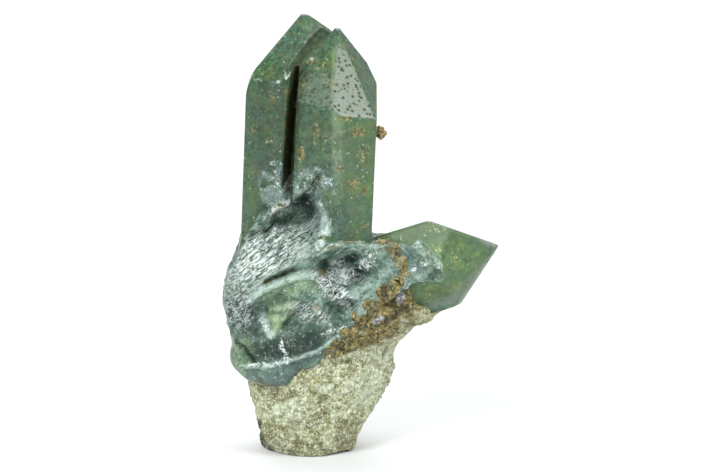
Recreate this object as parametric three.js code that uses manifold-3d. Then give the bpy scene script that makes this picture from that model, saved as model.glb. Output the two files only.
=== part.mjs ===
// Included quartz crystal: two upright crystals grown side by side, a broken root with shell-shaped
// fractures, and a side crystal, all one green quartz mass on a tapered piece of pale granular rock.
// Millimetres, +Z up. The origin is the middle of the flat foot, and the front faces -Y.

import * as THREE from "three";
import { ConvexGeometry } from "three/addons/geometries/ConvexGeometry.js";
import { mergeVertices } from "three/addons/utils/BufferGeometryUtils.js";
import Module from "manifold-3d";

// Driving dimensions
const END_FACE_ANGLE = 38.2; // degrees between quartz's long axis and an end face
const UPRIGHT_LEAN = 2.4; // degrees that both upright crystals lean toward +X
const SIDE_RISE = 18.5; // degrees that the side crystal points up
const SIDE_TOWARD_FRONT = 6; // degrees that its tip turns toward the front
const CONTACT_GAP = 0.3; // clearance between the quartz and the rock
const ROCK_GRAIN = 0.35; // height of the rock's lumps
const CRUST_GRAIN = 1.2; // the brown crust's lumps against the rock's
const LOBE_GRAIN = 1; // and the root lobes' lumps
const BREAK_CELL = 1; // width of the facets on the broken surface
const BREAK_BLEND = 1; // how far one break rounds into the next

// How finely round forms are faceted
const LARGE_DETAIL = 4;
const ROUND_DETAIL = 2;
const GRAIN_DETAIL = 1;

const wasm = await Module();
wasm.setup();

const degrees = THREE.MathUtils.degToRad;
const point = (xyz) => new THREE.Vector3(...xyz);

// Convex solids from planes

// A plane that faces out along a direction, through a point.
function planeThrough(direction, through) {
  const normal = point(direction).normalize();
  return { normal, distance: normal.dot(point(through)) };
}

// Every corner where three planes meet inside all the others, wrapped in one convex hull.
function convexSolid(planes, grow = 0) {
  const corners = [];
  const moved = planes.map(({ normal, distance }) => ({ normal, distance: distance + grow }));
  for (let i = 0; i < moved.length; i++)
    for (let j = i + 1; j < moved.length; j++)
      for (let k = j + 1; k < moved.length; k++) {
        const [a, b, c] = [moved[i], moved[j], moved[k]];
        const bc = b.normal.clone().cross(c.normal);
        const spread = a.normal.dot(bc);
        if (Math.abs(spread) < 1e-6) continue;
        const corner = bc
          .multiplyScalar(a.distance)
          .addScaledVector(c.normal.clone().cross(a.normal), b.distance)
          .addScaledVector(a.normal.clone().cross(b.normal), c.distance)
          .divideScalar(spread);
        if (moved.every((p) => p.normal.dot(corner) < p.distance + 1e-5)) corners.push(corner);
      }
  return toSolid(new ConvexGeometry(corners));
}

// A closed three.js geometry as a solid that can be joined and cut.
function toSolid(geometry) {
  const bare = geometry.clone();
  bare.deleteAttribute("normal");
  bare.deleteAttribute("uv");
  const merged = mergeVertices(bare, 1e-4);
  return new wasm.Manifold(
    new wasm.Mesh({
      numProp: 3,
      vertProperties: new Float32Array(merged.attributes.position.array),
      triVerts: new Uint32Array(merged.index.array),
    }),
  );
}

// Quartz crystals

// Six prism faces round the long axis and six end faces that slope to the tip. Distances are from
// the axis through the tip, and an end face stands proud of the tip point by its own distance.
function crystalPlanes({ tip, axis, side, spin, prism, proud, angles, turns, extra, length }) {
  const long = point(axis).normalize();
  const across = point(side).addScaledVector(long, -point(side).dot(long)).normalize();
  const up = long.clone().cross(across);
  const outward = (azimuth) =>
    across
      .clone()
      .multiplyScalar(Math.cos(degrees(azimuth)))
      .addScaledVector(up, Math.sin(degrees(azimuth)));
  const planes = [];
  const add = (normal, beyondTip) =>
    planes.push({ normal, distance: normal.dot(point(tip)) + beyondTip });
  prism.forEach((reach, face) => {
    const azimuth = spin + 60 * face;
    add(outward(azimuth), reach);
    const slope = degrees(angles[face]);
    const leaning = outward(azimuth + turns[face]).multiplyScalar(Math.cos(slope));
    add(leaning.addScaledVector(long, Math.sin(slope)), proud[face]);
  });
  for (const { azimuth, reach } of extra) add(outward(spin + azimuth), reach);
  add(long.clone().negate(), length);
  return planes;
}

const lean = degrees(UPRIGHT_LEAN);
const uprightAxis = [Math.sin(lean), 0, Math.cos(lean)];
const rise = degrees(SIDE_RISE);
const toFront = degrees(SIDE_TOWARD_FRONT);

// Faces run anticlockwise from +X: right, back right, back left, left, front left, front right.
const backCrystal = {
  tip: [-0.6, 2.8, 68.9],
  axis: uprightAxis,
  side: [1, 0, 0],
  spin: 0,
  prism: [9.5, 6.4, 5.8, 8.7, 7.9, 5.1],
  proud: [2.1, 0, 0.6, 0, 0, 0],
  angles: [END_FACE_ANGLE, END_FACE_ANGLE, END_FACE_ANGLE, 36.5, END_FACE_ANGLE, END_FACE_ANGLE],
  turns: [0, 0, 0, 0, 0, 0],
  extra: [],
  length: 48,
};
const frontCrystal = {
  tip: [4.3, 0, 67.9],
  axis: uprightAxis,
  side: [1, 0, 0],
  spin: -7,
  prism: [6.8, 5, 4, 5.05, 8.25, 9.65],
  proud: [-0.27, 0, 0, -0.09, -0.35, -0.65],
  angles: [33.5, END_FACE_ANGLE, END_FACE_ANGLE, END_FACE_ANGLE, END_FACE_ANGLE, END_FACE_ANGLE],
  turns: [-11, 0, 0, -9, 0, 0],
  extra: [{ azimuth: 273, reach: 9.9 }],
  length: 40,
};
// Its faces run from the upper one toward the front.
const sideCrystal = {
  tip: [29.6, -4, 33.6],
  axis: [
    Math.cos(rise) * Math.cos(toFront),
    -Math.sin(toFront),
    Math.sin(rise) * Math.cos(toFront),
  ],
  side: [-Math.sin(rise), 0, Math.cos(rise)],
  spin: -12,
  prism: [6.9, 7, 7.2, 7.15, 7.5, 7.5],
  proud: [0, 0, 0, 0, 0, 0],
  angles: Array(6).fill(END_FACE_ANGLE),
  turns: Array(6).fill(0),
  extra: [],
  length: 24,
};

// The broken root

// The main block, which carries the upright crystals. Its front is cut back to the break surface.
const rootBlock = [
  planeThrough([-0.88, -0.1, 0.47], [-11.2, -1, 31.7]),
  planeThrough([-0.96, -0.1, 0.25], [-13.3, -1, 27.6]),
  planeThrough([-0.99, -0.05, -0.11], [-13.3, -1, 23.8]),
  planeThrough([-0.85, -0.2, -0.5], [-12.4, -1, 18.2]),
  planeThrough([-0.2, 0, -0.98], [-4.4, -6, 11.9]),
  planeThrough([0.62, 0, -0.78], [-4.4, -6, 11.9]),
  planeThrough([0, -1, 0], [0, -12.5, 26]),
  planeThrough([0.3, 0.3, 0.9], [0, 0, 38]),
  planeThrough([0, -0.6, 0.8], [2, -10, 33.8]),
  planeThrough([1, 0, 0], [8.4, 0, 30]),
  planeThrough([0, 0.97, 0.24], [0, 7, 30]),
  planeThrough([0.1, 0.75, -0.65], [0, 6.2, 26]),
  planeThrough([-0.45, 0.8, -0.3], [-8, 5, 24]),
  planeThrough([-0.7, 0.7, 0], [-10.5, 5, 25]),
];
// The shoulder between the upright crystals and the side crystal.
const rootShoulder = [
  planeThrough([0.1, 0.05, 0.99], [9.5, -4, 34.3]),
  planeThrough([0, -1, 0], [0, -11.5, 31]),
  planeThrough([0.8, 0, 0.6], [15.5, -4, 34]),
  planeThrough([0.54, 0, -0.84], [8, -8, 23.8]),
  planeThrough([0, 0.97, 0.24], [0, 6, 30]),
  planeThrough([-1, 0, 0], [0, 0, 30]),
];

// Rounded lobes at the bottom of the root, over the rock.
const rootLobes = [
  { at: [-10.6, -3.9, 16], radii: [2, 3.4, 2.7] },
  { at: [-5, -6.3, 14.6], radii: [4, 3, 3] },
  { at: [-8.6, -5.2, 14.2], radii: [2.4, 2.8, 2.1] },
  { at: [-0.6, -6.9, 16.6], radii: [3.4, 2.6, 2.2] },
  { at: [2.9, -7.4, 19.4], radii: [2.7, 2.4, 1.9] },
  { at: [7, -7.8, 23], radii: [2.4, 2.2, 1.7] },
];

// The break surface, as the depth Y over X and Z. More negative is nearer the front.

const UNCUT = -30;
const softening = (a, b, blend) => Math.max(blend - Math.abs(a - b), 0) ** 2 / (4 * blend);
const deeper = (a, b, blend = BREAK_BLEND) => Math.max(a, b) + softening(a, b, blend);
const nearer = (a, b, blend = BREAK_BLEND) => Math.min(a, b) - softening(a, b, blend);

// A flat break that faces a direction and passes through a point.
const flatBreak = ([a, b, c], [x0, y0, z0]) => (x, z) => y0 - (a * (x - x0) + c * (z - z0)) / b;

// A shell-shaped hollow, turned about Y, with rings like those in broken glass.
function shellBreak({ at, radii, turn = 0, rings = 0, ripple = 0 }) {
  const [cos, sin] = [Math.cos(degrees(turn)), Math.sin(degrees(turn))];
  return (x, z) => {
    const along = ((x - at[0]) * cos + (z - at[2]) * sin) / radii[0];
    const across = (-(x - at[0]) * sin + (z - at[2]) * cos) / radii[2];
    const out = Math.hypot(along, across);
    const wave = ripple * Math.cos(2 * Math.PI * rings * out);
    return at[1] + radii[1] * (1 - out * out) + wave;
  };
}

// The ledge slopes up to the notch under the back crystal; the roof and wall close the notch.
const ledge = flatBreak([-0.45, -0.62, 0.64], [-3.7, -9, 32]);
const notchRoof = flatBreak([0.4, -0.6, -0.8], [-1.5, -4.7, 40.9]);
const notchWall = flatBreak([-0.85, -0.53, 0], [2.5, -9.5, 36]);
const rootFront = flatBreak([-0.05, -1, 0.02], [0, -10.2, 26]);
const prismEnd = flatBreak([0.3, -0.4, -0.9], [1.7, -10.1, 33.4]);
const sideLimit = flatBreak([-0.9, -0.45, 0], [12, -10, 30]);
const darkFacet = flatBreak([-0.1, -0.93, -0.35], [-3.8, -9.5, 18.2]);
const leftMargin = flatBreak([-0.75, -0.66, 0.1], [-10.5, -8, 24]);
const hollows = [
  { at: [-3, -8.6, 37.8], radii: [6, 7.2, 3.7], turn: 24, rings: 2.5, ripple: 0.15 },
  { at: [-5.3, -12.6, 23.4], radii: [6.6, 5.4, 5.8], turn: 14, rings: 3, ripple: 0.2 },
  { at: [6.3, -13, 30], radii: [5.2, 5.6, 5], turn: 10, rings: 3, ripple: 0.2 },
  { at: [4.9, -9.6, 31.6], radii: [3, 3.4, 1.5], turn: 8 },
  { at: [4.7, -12.8, 24.2], radii: [4.2, 4.4, 3.6], turn: 20, rings: 2, ripple: 0.15 },
  { at: [16, -12.8, 33.2], radii: [6, 5.4, 4.4], turn: -38, rings: 3, ripple: 0.15 },
  { at: [19, -11.4, 30.3], radii: [2.8, 3.6, 1.4], turn: -10 },
  { at: [-4.6, -9.6, 30], radii: [3.4, 1.8, 0.9], turn: 20 },
].map(shellBreak);

function breakDepth(x, z) {
  const notch = nearer(nearer(ledge(x, z), notchRoof(x, z)), notchWall(x, z));
  const front = nearer(nearer(rootFront(x, z), prismEnd(x, z)), sideLimit(x, z));
  let depth = deeper(notch, front);
  depth = deeper(depth, nearer(darkFacet(x, z), sideLimit(x, z)));
  depth = deeper(depth, leftMargin(x, z));
  for (const hollow of hollows) depth = deeper(depth, hollow(x, z));
  return Math.max(depth, UNCUT + 1);
}

// Everything in front of the break surface, as a block whose back follows it.
function brokenAway() {
  const [left, right, low, high] = [-17, 23, 9, 44];
  const columns = Math.round((right - left) / BREAK_CELL);
  const rows = Math.round((high - low) / BREAK_CELL);
  const block = new THREE.BoxGeometry(right - left, 1, high - low, columns, 1, rows);
  block.translate((left + right) / 2, 0, (low + high) / 2);
  const positions = block.attributes.position;
  for (let i = 0; i < positions.count; i++) {
    const [x, z] = [positions.getX(i), positions.getZ(i)];
    positions.setY(i, positions.getY(i) > 0 ? breakDepth(x, z) : UNCUT);
  }
  return toSolid(block);
}

// The slot between the two upright crystals, where their sides never joined.
const growthSlot = [
  planeThrough([-1, 0, 0.1], [-3, -5, 51.5]),
  planeThrough([1, 0, -0.1], [-2, -5, 51.5]),
  planeThrough([0, 1, 0], [0, 0.6, 50]),
  planeThrough([0, -1, 0], [0, -12, 50]),
  planeThrough([0, 0, 1], [0, 0, 64]),
  planeThrough([0, -0.3, -1], [0, -4, 42.2]),
];

// Brown grains grown on the right edge of the front crystal.
const grainClump = [
  { at: [11, -0.4, 51.3], radii: [0.75, 0.85, 0.75] },
  { at: [11.3, 0.1, 50.6], radii: [0.65, 0.75, 0.7] },
  { at: [11, 0.5, 50.2], radii: [0.6, 0.6, 0.6] },
];

// A round form whose surface may be roughened, and grown evenly to leave a gap around its twin.
function lump({ at, radii }, { detail = ROUND_DETAIL, grow = 0, grain = 0 } = {}) {
  const geometry = new THREE.IcosahedronGeometry(1, detail);
  const positions = geometry.attributes.position;
  for (let i = 0; i < positions.count; i++) {
    const outward = new THREE.Vector3().fromBufferAttribute(positions, i).normalize();
    const p = outward.clone().multiply(point(radii)).add(point(at));
    p.addScaledVector(outward, grow + grain * grainHeight(p));
    positions.setXYZ(i, p.x, p.y, p.z);
  }
  return toSolid(geometry);
}

function quartzBody(grow = 0) {
  return convexSolid(crystalPlanes(backCrystal), grow)
    .add(convexSolid(crystalPlanes(frontCrystal), grow))
    .add(convexSolid(crystalPlanes(sideCrystal), grow))
    .add(convexSolid(rootBlock, grow))
    .add(convexSolid(rootShoulder, grow));
}

// The granular rock

// Level, middle in X and Y, half width and half depth of the stump, from the foot up. The top leans
// to the right, under the side crystal.
const rockSections = [
  { level: 0, middle: [0.2, 0], half: [7.2, 6.2] },
  { level: 2, middle: [0, 0], half: [7.8, 6.8] },
  { level: 5, middle: [0.4, 0.1], half: [9, 7.6] },
  { level: 8, middle: [0.7, 0.2], half: [10.1, 8.2] },
  { level: 11, middle: [0.9, 0.3], half: [11.2, 8.7] },
  { level: 14.5, middle: [1.4, 0.4], half: [11.9, 9.3] },
  { level: 17.5, middle: [2.5, 0.6], half: [11.7, 9.7] },
  { level: 20.5, middle: [6.8, 0.2], half: [10.9, 9.6] },
  { level: 23.5, middle: [12.2, -1.2], half: [9.2, 8.4] },
  { level: 26, middle: [13, -2.4], half: [6, 7.2] },
  { level: 28, middle: [13.6, -4.6], half: [2.4, 4.4] },
];
// A lump that climbs the back of the quartz.
const rockLumps = [{ at: [1, 5.2, 24], radii: [10.5, 5, 9] }];
// Brown grains over the contact and up the seam between the root and the side crystal.
const crustLumps = [
  { at: [10.8, -7.6, 24.2], radii: [3.6, 2.6, 3] },
  { at: [13.8, -7.4, 26.2], radii: [3, 2.8, 3] },
  { at: [15.2, -7.8, 27.6], radii: [1.7, 2, 1.7] },
  { at: [16.6, -6.4, 23.8], radii: [3, 3, 2.2] },
  { at: [14.9, -7.6, 29.4], radii: [1, 1.7, 1.3] },
  { at: [14.5, -7.5, 30.8], radii: [0.9, 1.6, 1.3] },
  { at: [13.9, -7.2, 32.2], radii: [1.1, 1.6, 1.2] },
  { at: [12.8, -6.9, 33.4], radii: [1.5, 1.7, 1.2] },
  { at: [11.4, -6.7, 34.1], radii: [1.5, 1.6, 0.9] },
];

// Smooth lumps from crossed waves, the same at every run.
function grainHeight(p) {
  const coarse = Math.sin(1.1 * p.x + 0.7 * p.z) * Math.sin(0.9 * p.y - 1.3 * p.z + 1);
  const fine = Math.sin(2.3 * p.x - 1.7 * p.y + 2) * Math.sin(2.1 * p.z + 1.2 * p.y);
  return ROCK_GRAIN * (0.7 * coarse + 0.5 * fine);
}

// The stump is a turned form whose rings are stretched and moved to each section, then roughened.
function rockStump() {
  const RINGS = 18;
  const AROUND = 38;
  const MEAN_RADIUS = 8;
  const top = rockSections.at(-1).level;
  const profile = [new THREE.Vector2(0, 0)];
  for (let ring = 0; ring <= RINGS; ring++) profile.push(new THREE.Vector2(1, (top * ring) / RINGS));
  profile.push(new THREE.Vector2(0, top));
  const geometry = new THREE.LatheGeometry(profile, AROUND).rotateX(Math.PI / 2);
  const positions = geometry.attributes.position;
  const p = new THREE.Vector3();
  for (let i = 0; i < positions.count; i++) {
    p.fromBufferAttribute(positions, i);
    const above = rockSections.findIndex((s) => s.level >= p.z - 1e-6);
    const high = rockSections[Math.max(above, 1)];
    const low = rockSections[Math.max(above, 1) - 1];
    const share = (p.z - low.level) / (high.level - low.level);
    const mix = (key, axis) => THREE.MathUtils.lerp(low[key][axis], high[key][axis], share);
    const radius = Math.hypot(p.x, p.y);
    p.x = mix("middle", 0) + p.x * mix("half", 0);
    p.y = mix("middle", 1) + p.y * mix("half", 1);
    const swell = 1 + (radius * grainHeight(p)) / MEAN_RADIUS;
    positions.setXYZ(i, p.x * swell, p.y * swell, p.z);
  }
  return toSolid(geometry);
}

// Cutting and joining

let quartz = quartzBody().subtract(brokenAway()).subtract(convexSolid(growthSlot));
for (const lobe of rootLobes) quartz = quartz.add(lump(lobe, { grain: LOBE_GRAIN }));
for (const crust of crustLumps)
  quartz = quartz.subtract(lump(crust, { grow: CONTACT_GAP, grain: CRUST_GRAIN }));
for (const grain of grainClump) quartz = quartz.add(lump(grain, { detail: GRAIN_DETAIL }));

let rock = rockStump();
for (const part of rockLumps) rock = rock.add(lump(part, { detail: LARGE_DETAIL, grain: 1 }));
rock = rock.subtract(quartzBody(CONTACT_GAP));
for (const lobe of rootLobes) rock = rock.subtract(lump(lobe, { grow: CONTACT_GAP, grain: LOBE_GRAIN }));
for (const crust of crustLumps) rock = rock.add(lump(crust, { grain: CRUST_GRAIN }));

// The largest piece of a cut, without loose crumbs.
function largestPiece(solid) {
  return solid.decompose().sort((a, b) => b.volume() - a.volume())[0];
}

function namedMesh(name, solid, material) {
  const { numProp, vertProperties, triVerts } = solid.getMesh();
  const geometry = new THREE.BufferGeometry();
  const positions = new Float32Array((vertProperties.length / numProp) * 3);
  for (let i = 0; i < positions.length / 3; i++)
    positions.set(vertProperties.subarray(i * numProp, i * numProp + 3), i * 3);
  geometry.setAttribute("position", new THREE.BufferAttribute(positions, 3));
  geometry.setIndex(new THREE.BufferAttribute(new Uint32Array(triVerts), 1));
  geometry.computeVertexNormals();
  const mesh = new THREE.Mesh(geometry, material);
  mesh.name = name;
  return mesh;
}

const greenQuartz = new THREE.MeshStandardMaterial({ color: 0x5d7f68, roughness: 0.25, metalness: 0 });
const paleRock = new THREE.MeshStandardMaterial({ color: 0xb3ad88, roughness: 0.9, metalness: 0 });

const specimen = new THREE.Group();
specimen.add(
  namedMesh("green_quartz", largestPiece(quartz), greenQuartz),
  namedMesh("matrix_rock", largestPiece(rock), paleRock),
);

export default specimen;
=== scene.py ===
import math

import bpy
import numpy as np
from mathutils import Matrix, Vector


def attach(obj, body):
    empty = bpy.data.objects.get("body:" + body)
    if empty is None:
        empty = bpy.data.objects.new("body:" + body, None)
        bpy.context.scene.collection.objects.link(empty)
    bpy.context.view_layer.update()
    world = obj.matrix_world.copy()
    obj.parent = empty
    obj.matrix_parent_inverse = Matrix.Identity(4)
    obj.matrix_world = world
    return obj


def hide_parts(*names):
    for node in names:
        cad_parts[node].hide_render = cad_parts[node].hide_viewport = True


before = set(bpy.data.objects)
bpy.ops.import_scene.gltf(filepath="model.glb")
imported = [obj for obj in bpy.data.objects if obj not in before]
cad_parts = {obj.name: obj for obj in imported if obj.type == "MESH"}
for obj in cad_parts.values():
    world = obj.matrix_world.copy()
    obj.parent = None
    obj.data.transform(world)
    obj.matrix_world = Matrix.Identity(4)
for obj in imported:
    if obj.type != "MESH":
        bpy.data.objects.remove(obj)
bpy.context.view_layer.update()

# Green quartz. Three quartz crystals grown together, packed with moss-green inclusions and brown
# specks, and broken across the root in shell-shaped hollows. The solid is worked out as a distance
# in millimetres from the same faces as the CAD, then meshed with its sharp edges kept.

MM = 0.001
UPRIGHT_LEAN = math.radians(2.4)
SIDE_RISE = math.radians(18.5)
SIDE_TOWARD_FRONT = math.radians(6)
QUARTZ_CELL = 0.24  # mm between the points that the surface is found on


def unit(vector):
    """A vector of length 1."""
    vector = np.array(vector, float)
    return vector / np.linalg.norm(vector)


def planes(*faces):
    """Faces given as a direction and a point, as one array of normals and one of distances."""
    normals = np.array([unit(direction) for direction, _ in faces])
    distances = np.array([n @ np.array(through, float) for n, (_, through) in zip(normals, faces)])
    return normals, distances


def crystal(tip, axis, side, spin, prism, proud, angles, turns, length, extra=(), blunt=0.15):
    """The faces of one crystal: six round its long axis, prism away from it, and six that slope to
    its tip, which is worn off by blunt. Proud is how far each of those stands out."""
    long = unit(axis)
    across = unit(np.array(side) - long * (long @ np.array(side)))
    up = np.cross(long, across)

    def facing(azimuth, slope=0):
        azimuth, slope = math.radians(azimuth), math.radians(slope)
        around = across * math.cos(azimuth) + up * math.sin(azimuth)
        return around * math.cos(slope) + long * math.sin(slope)

    tip = np.array(tip, float)
    faces = []
    for face in range(6):
        azimuth = spin + 60 * face
        faces.append((facing(azimuth), prism[face]))
        faces.append((facing(azimuth + turns[face], angles[face]), proud[face]))
    faces += [(facing(spin + azimuth, slope), reach) for azimuth, slope, reach in extra]
    faces.append((-long, length))
    faces.append((long, -blunt))
    normals = np.array([n for n, _ in faces])
    return normals, normals @ tip + np.array([reach for _, reach in faces])


UPRIGHT = (math.sin(UPRIGHT_LEAN), 0, math.cos(UPRIGHT_LEAN))
BACK_CRYSTAL = crystal(
    tip=(-0.6, 2.8, 69.35), axis=UPRIGHT, side=(1, 0, 0), spin=0,
    prism=(9.5, 6.4, 5.8, 8.75, 7.9, 5.1), proud=(2.1, 0, 0.6, 0.25, -0.2, -0.2),
    angles=(38.2, 38.2, 38.2, 37.2, 38.2, 38.2), turns=(0, 0, 0, -6, 0, 0), length=48,
    extra=((180, 17.3, 4.65),), blunt=0.5,
)
FRONT_CRYSTAL = crystal(
    tip=(4.3, 0, 67.9), axis=UPRIGHT, side=(1, 0, 0), spin=-7,
    prism=(7.6, 5, 4, 5.05, 8.25, 9.65), proud=(-0.27, 0, 0, -0.09, -0.6, -0.5),
    angles=(33.5, 38.2, 38.2, 38.2, 38.2, 38), turns=(-11, 0, 0, -9, 5, 4), length=40,
    extra=((273, 0, 9.9), (8, 0, 6.6)), blunt=0.9,
)
SIDE_CRYSTAL = crystal(
    tip=(29.6, -4, 33.6),
    axis=(
        math.cos(SIDE_RISE) * math.cos(SIDE_TOWARD_FRONT),
        -math.sin(SIDE_TOWARD_FRONT),
        math.sin(SIDE_RISE) * math.cos(SIDE_TOWARD_FRONT),
    ),
    side=(-math.sin(SIDE_RISE), 0, math.cos(SIDE_RISE)), spin=-12,
    prism=(6.9, 7, 7.2, 7.15, 7.5, 7.5), proud=(0,) * 6,
    angles=(35.5, 38.2, 38.2, 38.2, 38.2, 38.2), turns=(-5, 40, 34, 0, 0, 0), length=24,
)
ROUNDED_CRYSTALS = ((BACK_CRYSTAL, 0.35), (FRONT_CRYSTAL, 0.25), (SIDE_CRYSTAL, 0.4))
FRONT_END_FACES = dict(right=11, left=9, side=1)  # their numbers among the front crystal's faces
ROOT_BLOCK = planes(
    ((-0.88, -0.1, 0.47), (-11.2, -1, 31.7)), ((-0.96, -0.1, 0.25), (-13.3, -1, 27.6)),
    ((-0.99, -0.05, -0.11), (-13.3, -1, 23.8)), ((-0.85, -0.2, -0.5), (-12.4, -1, 18.2)),
    ((-0.2, 0, -0.98), (-4.4, -6, 11.9)), ((0.62, 0, -0.78), (-4.4, -6, 11.9)),
    ((0, -1, 0), (0, -12.5, 26)), ((0.3, 0.3, 0.9), (0, 0, 38)),
    ((0, -0.6, 0.8), (2, -10, 33.8)), ((1, 0, 0), (8.4, 0, 30)),
    ((0, 0.97, 0.24), (0, 7, 30)), ((0.1, 0.75, -0.65), (0, 6.2, 26)),
    ((-0.45, 0.8, -0.3), (-8, 5, 24)), ((-0.7, 0.7, 0), (-10.5, 5, 25)),
)
ROOT_SHOULDER = planes(
    ((0.1, 0.05, 0.99), (9.5, -4, 34.3)), ((0, -1, 0), (0, -11.5, 31)),
    ((0.8, 0, 0.6), (15.5, -4, 34)), ((0.54, 0, -0.84), (8, -8, 23.8)),
    ((0, 0.97, 0.24), (0, 6, 30)), ((-1, 0, 0), (0, 0, 30)),
)
GROWTH_SLOT = planes(
    ((-0.80, 0.60, 0.06), (-4.35, -4.9, 51.5)), ((1, 0, -0.08), (-2.35, -5, 51.5)),
    ((0, 1, 0), (0, 0.6, 50)), ((0, -1, 0), (0, -12, 50)),
    ((0, 0.6, 0.8), (0, -3.5, 62)), ((0, 0.8, -0.6), (0, -5.5, 40.5)),
)
ROOT_LOBES = (
    ((-10.6, -3.9, 16), (2, 3.4, 2.7)), ((-5, -6.3, 14.6), (4, 3, 3)),
    ((-8.6, -5.2, 14.2), (2.4, 2.8, 2.1)), ((-0.6, -6.9, 16.6), (3.4, 2.6, 2.2)),
    ((2.9, -7.4, 19.4), (2.7, 2.4, 1.9)), ((7, -7.8, 23), (2.4, 2.2, 1.7)),
)


def beyond(points, faces):
    """How far points are out of each face."""
    normals, distances = faces
    return points @ normals.T.astype(np.float32) - distances.astype(np.float32)


def convex(points, faces, rounding=0.0):
    """Distance out of a convex solid. Rounding softens its edges a little."""
    out = beyond(points, faces)
    if not rounding:
        return out.max(1)
    top = np.sort(out, axis=1)[:, -2:]
    near = np.clip(rounding - (top[:, 1] - top[:, 0]), 0, None)
    return top[:, 1] + near * near / (4 * rounding)


def ball(points, at, radii):
    """Distance out of an ellipsoid, nearly."""
    scaled = (points - np.float32(at)) / np.float32(radii)
    return (np.linalg.norm(scaled, axis=1) - 1) * min(radii)


def lumps(points, balls):
    """Distance out of the nearest of some ellipsoids."""
    return np.minimum.reduce([ball(points, at, radii) for at, radii in balls])


LATTICE = 32  # random values along each side of the block that all noise is read from
lattice_values = np.random.default_rng(7).uniform(-1, 1, (LATTICE,) * 3).astype(np.float32)


def waver(points, size, octaves=2, seed=0):
    """Smooth noise from -1 to 1 whose lumps are about size across, with finer ones on top."""
    total = np.zeros(len(points), np.float32)
    weight, reach = 1.0, 0.0
    for octave in range(octaves):
        place = points / (size * 0.5**octave) + 13.7 * (octave + 1) + 5.3 * seed
        cell = np.floor(place).astype(int)
        part = place - cell
        part = part * part * (3 - 2 * part)
        value = 0
        for corner in np.ndindex(2, 2, 2):
            i, j, k = ((cell + corner) % LATTICE).T
            share = np.prod(np.where(corner, part, 1 - part), axis=1)
            value = value + share * lattice_values[i, j, k]
        total += weight * value
        reach += weight
        weight *= 0.5
    return total / reach * 1.6


CAMERA_RISE = math.radians(12)
CAMERA_TARGET = (6.9, 0, 34.2)
CAMERA_DISTANCE = 463
LENS = 150
SENSOR_WIDTH = 36
PICTURE_MIDDLE = (354, 236)
PIXELS_PER_SLOPE = 2 * PICTURE_MIDDLE[0] * LENS / SENSOR_WIDTH


def seen_at(x, y, z):
    """The pixel of the 708 by 472 photograph that shows a point."""
    up = y * math.sin(CAMERA_RISE) + (z - CAMERA_TARGET[2]) * math.cos(CAMERA_RISE)
    away = CAMERA_DISTANCE + y * math.cos(CAMERA_RISE) - (z - CAMERA_TARGET[2]) * math.sin(CAMERA_RISE)
    scale = PIXELS_PER_SLOPE / away
    return PICTURE_MIDDLE[0] + scale * (x - CAMERA_TARGET[0]), PICTURE_MIDDLE[1] - scale * up


def smooth(value, low, high):
    """0 below low, 1 above high, and smooth between."""
    share = np.clip((value - low) / (high - low), 0, 1)
    return share * share * (3 - 2 * share)


def turned(right, up, turn):
    """How far along and across a direction, turned anticlockwise from the right."""
    cos, sin = math.cos(math.radians(turn)), math.sin(math.radians(turn))
    return right * cos + up * sin, up * cos - right * sin


def spot(seen, middle, radii, turn=0, soft=0.5):
    """1 in the middle of an ellipse of the picture and 0 outside it."""
    along, across = turned(seen[0] - middle[0], middle[1] - seen[1], turn)
    return 1 - smooth(np.hypot(along / radii[0], across / radii[1]), 1 - soft, 1 + soft)


def line(seen, width, *corners):
    """1 on a bent line of the picture, fading to 0 at its width."""
    nearest = 1e9
    for (x0, y0), (x1, y1) in zip(corners, corners[1:]):
        dx, dy = x1 - x0, y1 - y0
        along = np.clip(((seen[0] - x0) * dx + (seen[1] - y0) * dy) / (dx * dx + dy * dy), 0, 1)
        nearest = np.minimum(nearest, np.hypot(seen[0] - x0 - along * dx, seen[1] - y0 - along * dy))
    return 1 - smooth(nearest, width * 0.3, width)


def marked(seen, spots=(), lines=()):
    """The strongest of some spots and lines of the picture, each given after its strength."""
    marks = [strength * spot(seen, *mark) for strength, *mark in spots]
    marks += [strength * line(seen, *mark) for strength, *mark in lines]
    return np.maximum.reduce(marks)


def deeper(a, b, blend=0.6):
    """The larger of two distances, rounded where they meet."""
    return np.maximum(a, b) + np.clip(blend - np.abs(a - b), 0, None) ** 2 / (4 * blend)


def nearer(a, b, blend=0.6):
    """The smaller of two distances, rounded where they meet."""
    return -deeper(-a, -b, blend)


def flat_break(facing, through, x, z):
    """Depth Y of a flat break that faces a direction and passes through a point."""
    a, b, c = facing
    return through[1] - (a * (x - through[0]) + c * (z - through[2])) / b


def shell_break(x, z, at, radii, turn, rings=0, ripple=0):
    """Depth Y of a shell-shaped hollow with rings like those in broken glass."""
    along, across = turned(x - at[0], z - at[2], turn)
    out = np.hypot(along / radii[0], across / radii[2])
    return at[1] + radii[1] * (1 - out * out) + ripple * np.cos(2 * math.pi * rings * out)


# Middle, radii and turn of each hollow, how many rings it has and how high they are.
HOLLOWS = (
    ((-3, -8.6, 37.8), (6, 7.2, 3.7), 24, 2.5, 0.15),
    ((-5.3, -12.6, 23.4), (6.6, 4.6, 5.8), 14, 3, 0.15), ((6.3, -13, 30), (5.2, 5.6, 5), 10, 3, 0.2),
    ((4.9, -9.6, 31.6), (3, 2.2, 1.3), 8), ((4.7, -12.8, 24.2), (4.2, 4.4, 3.6), 20, 2, 0.15),
    ((16, -12.8, 33.2), (7.5, 4.4, 6.2), -38, 3, 0.1), ((19, -11.4, 30.3), (3.4, 1.6, 2.2), -15),
    ((-4.6, -9.6, 30), (3, 0.8, 0.7), 20),
)
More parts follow.
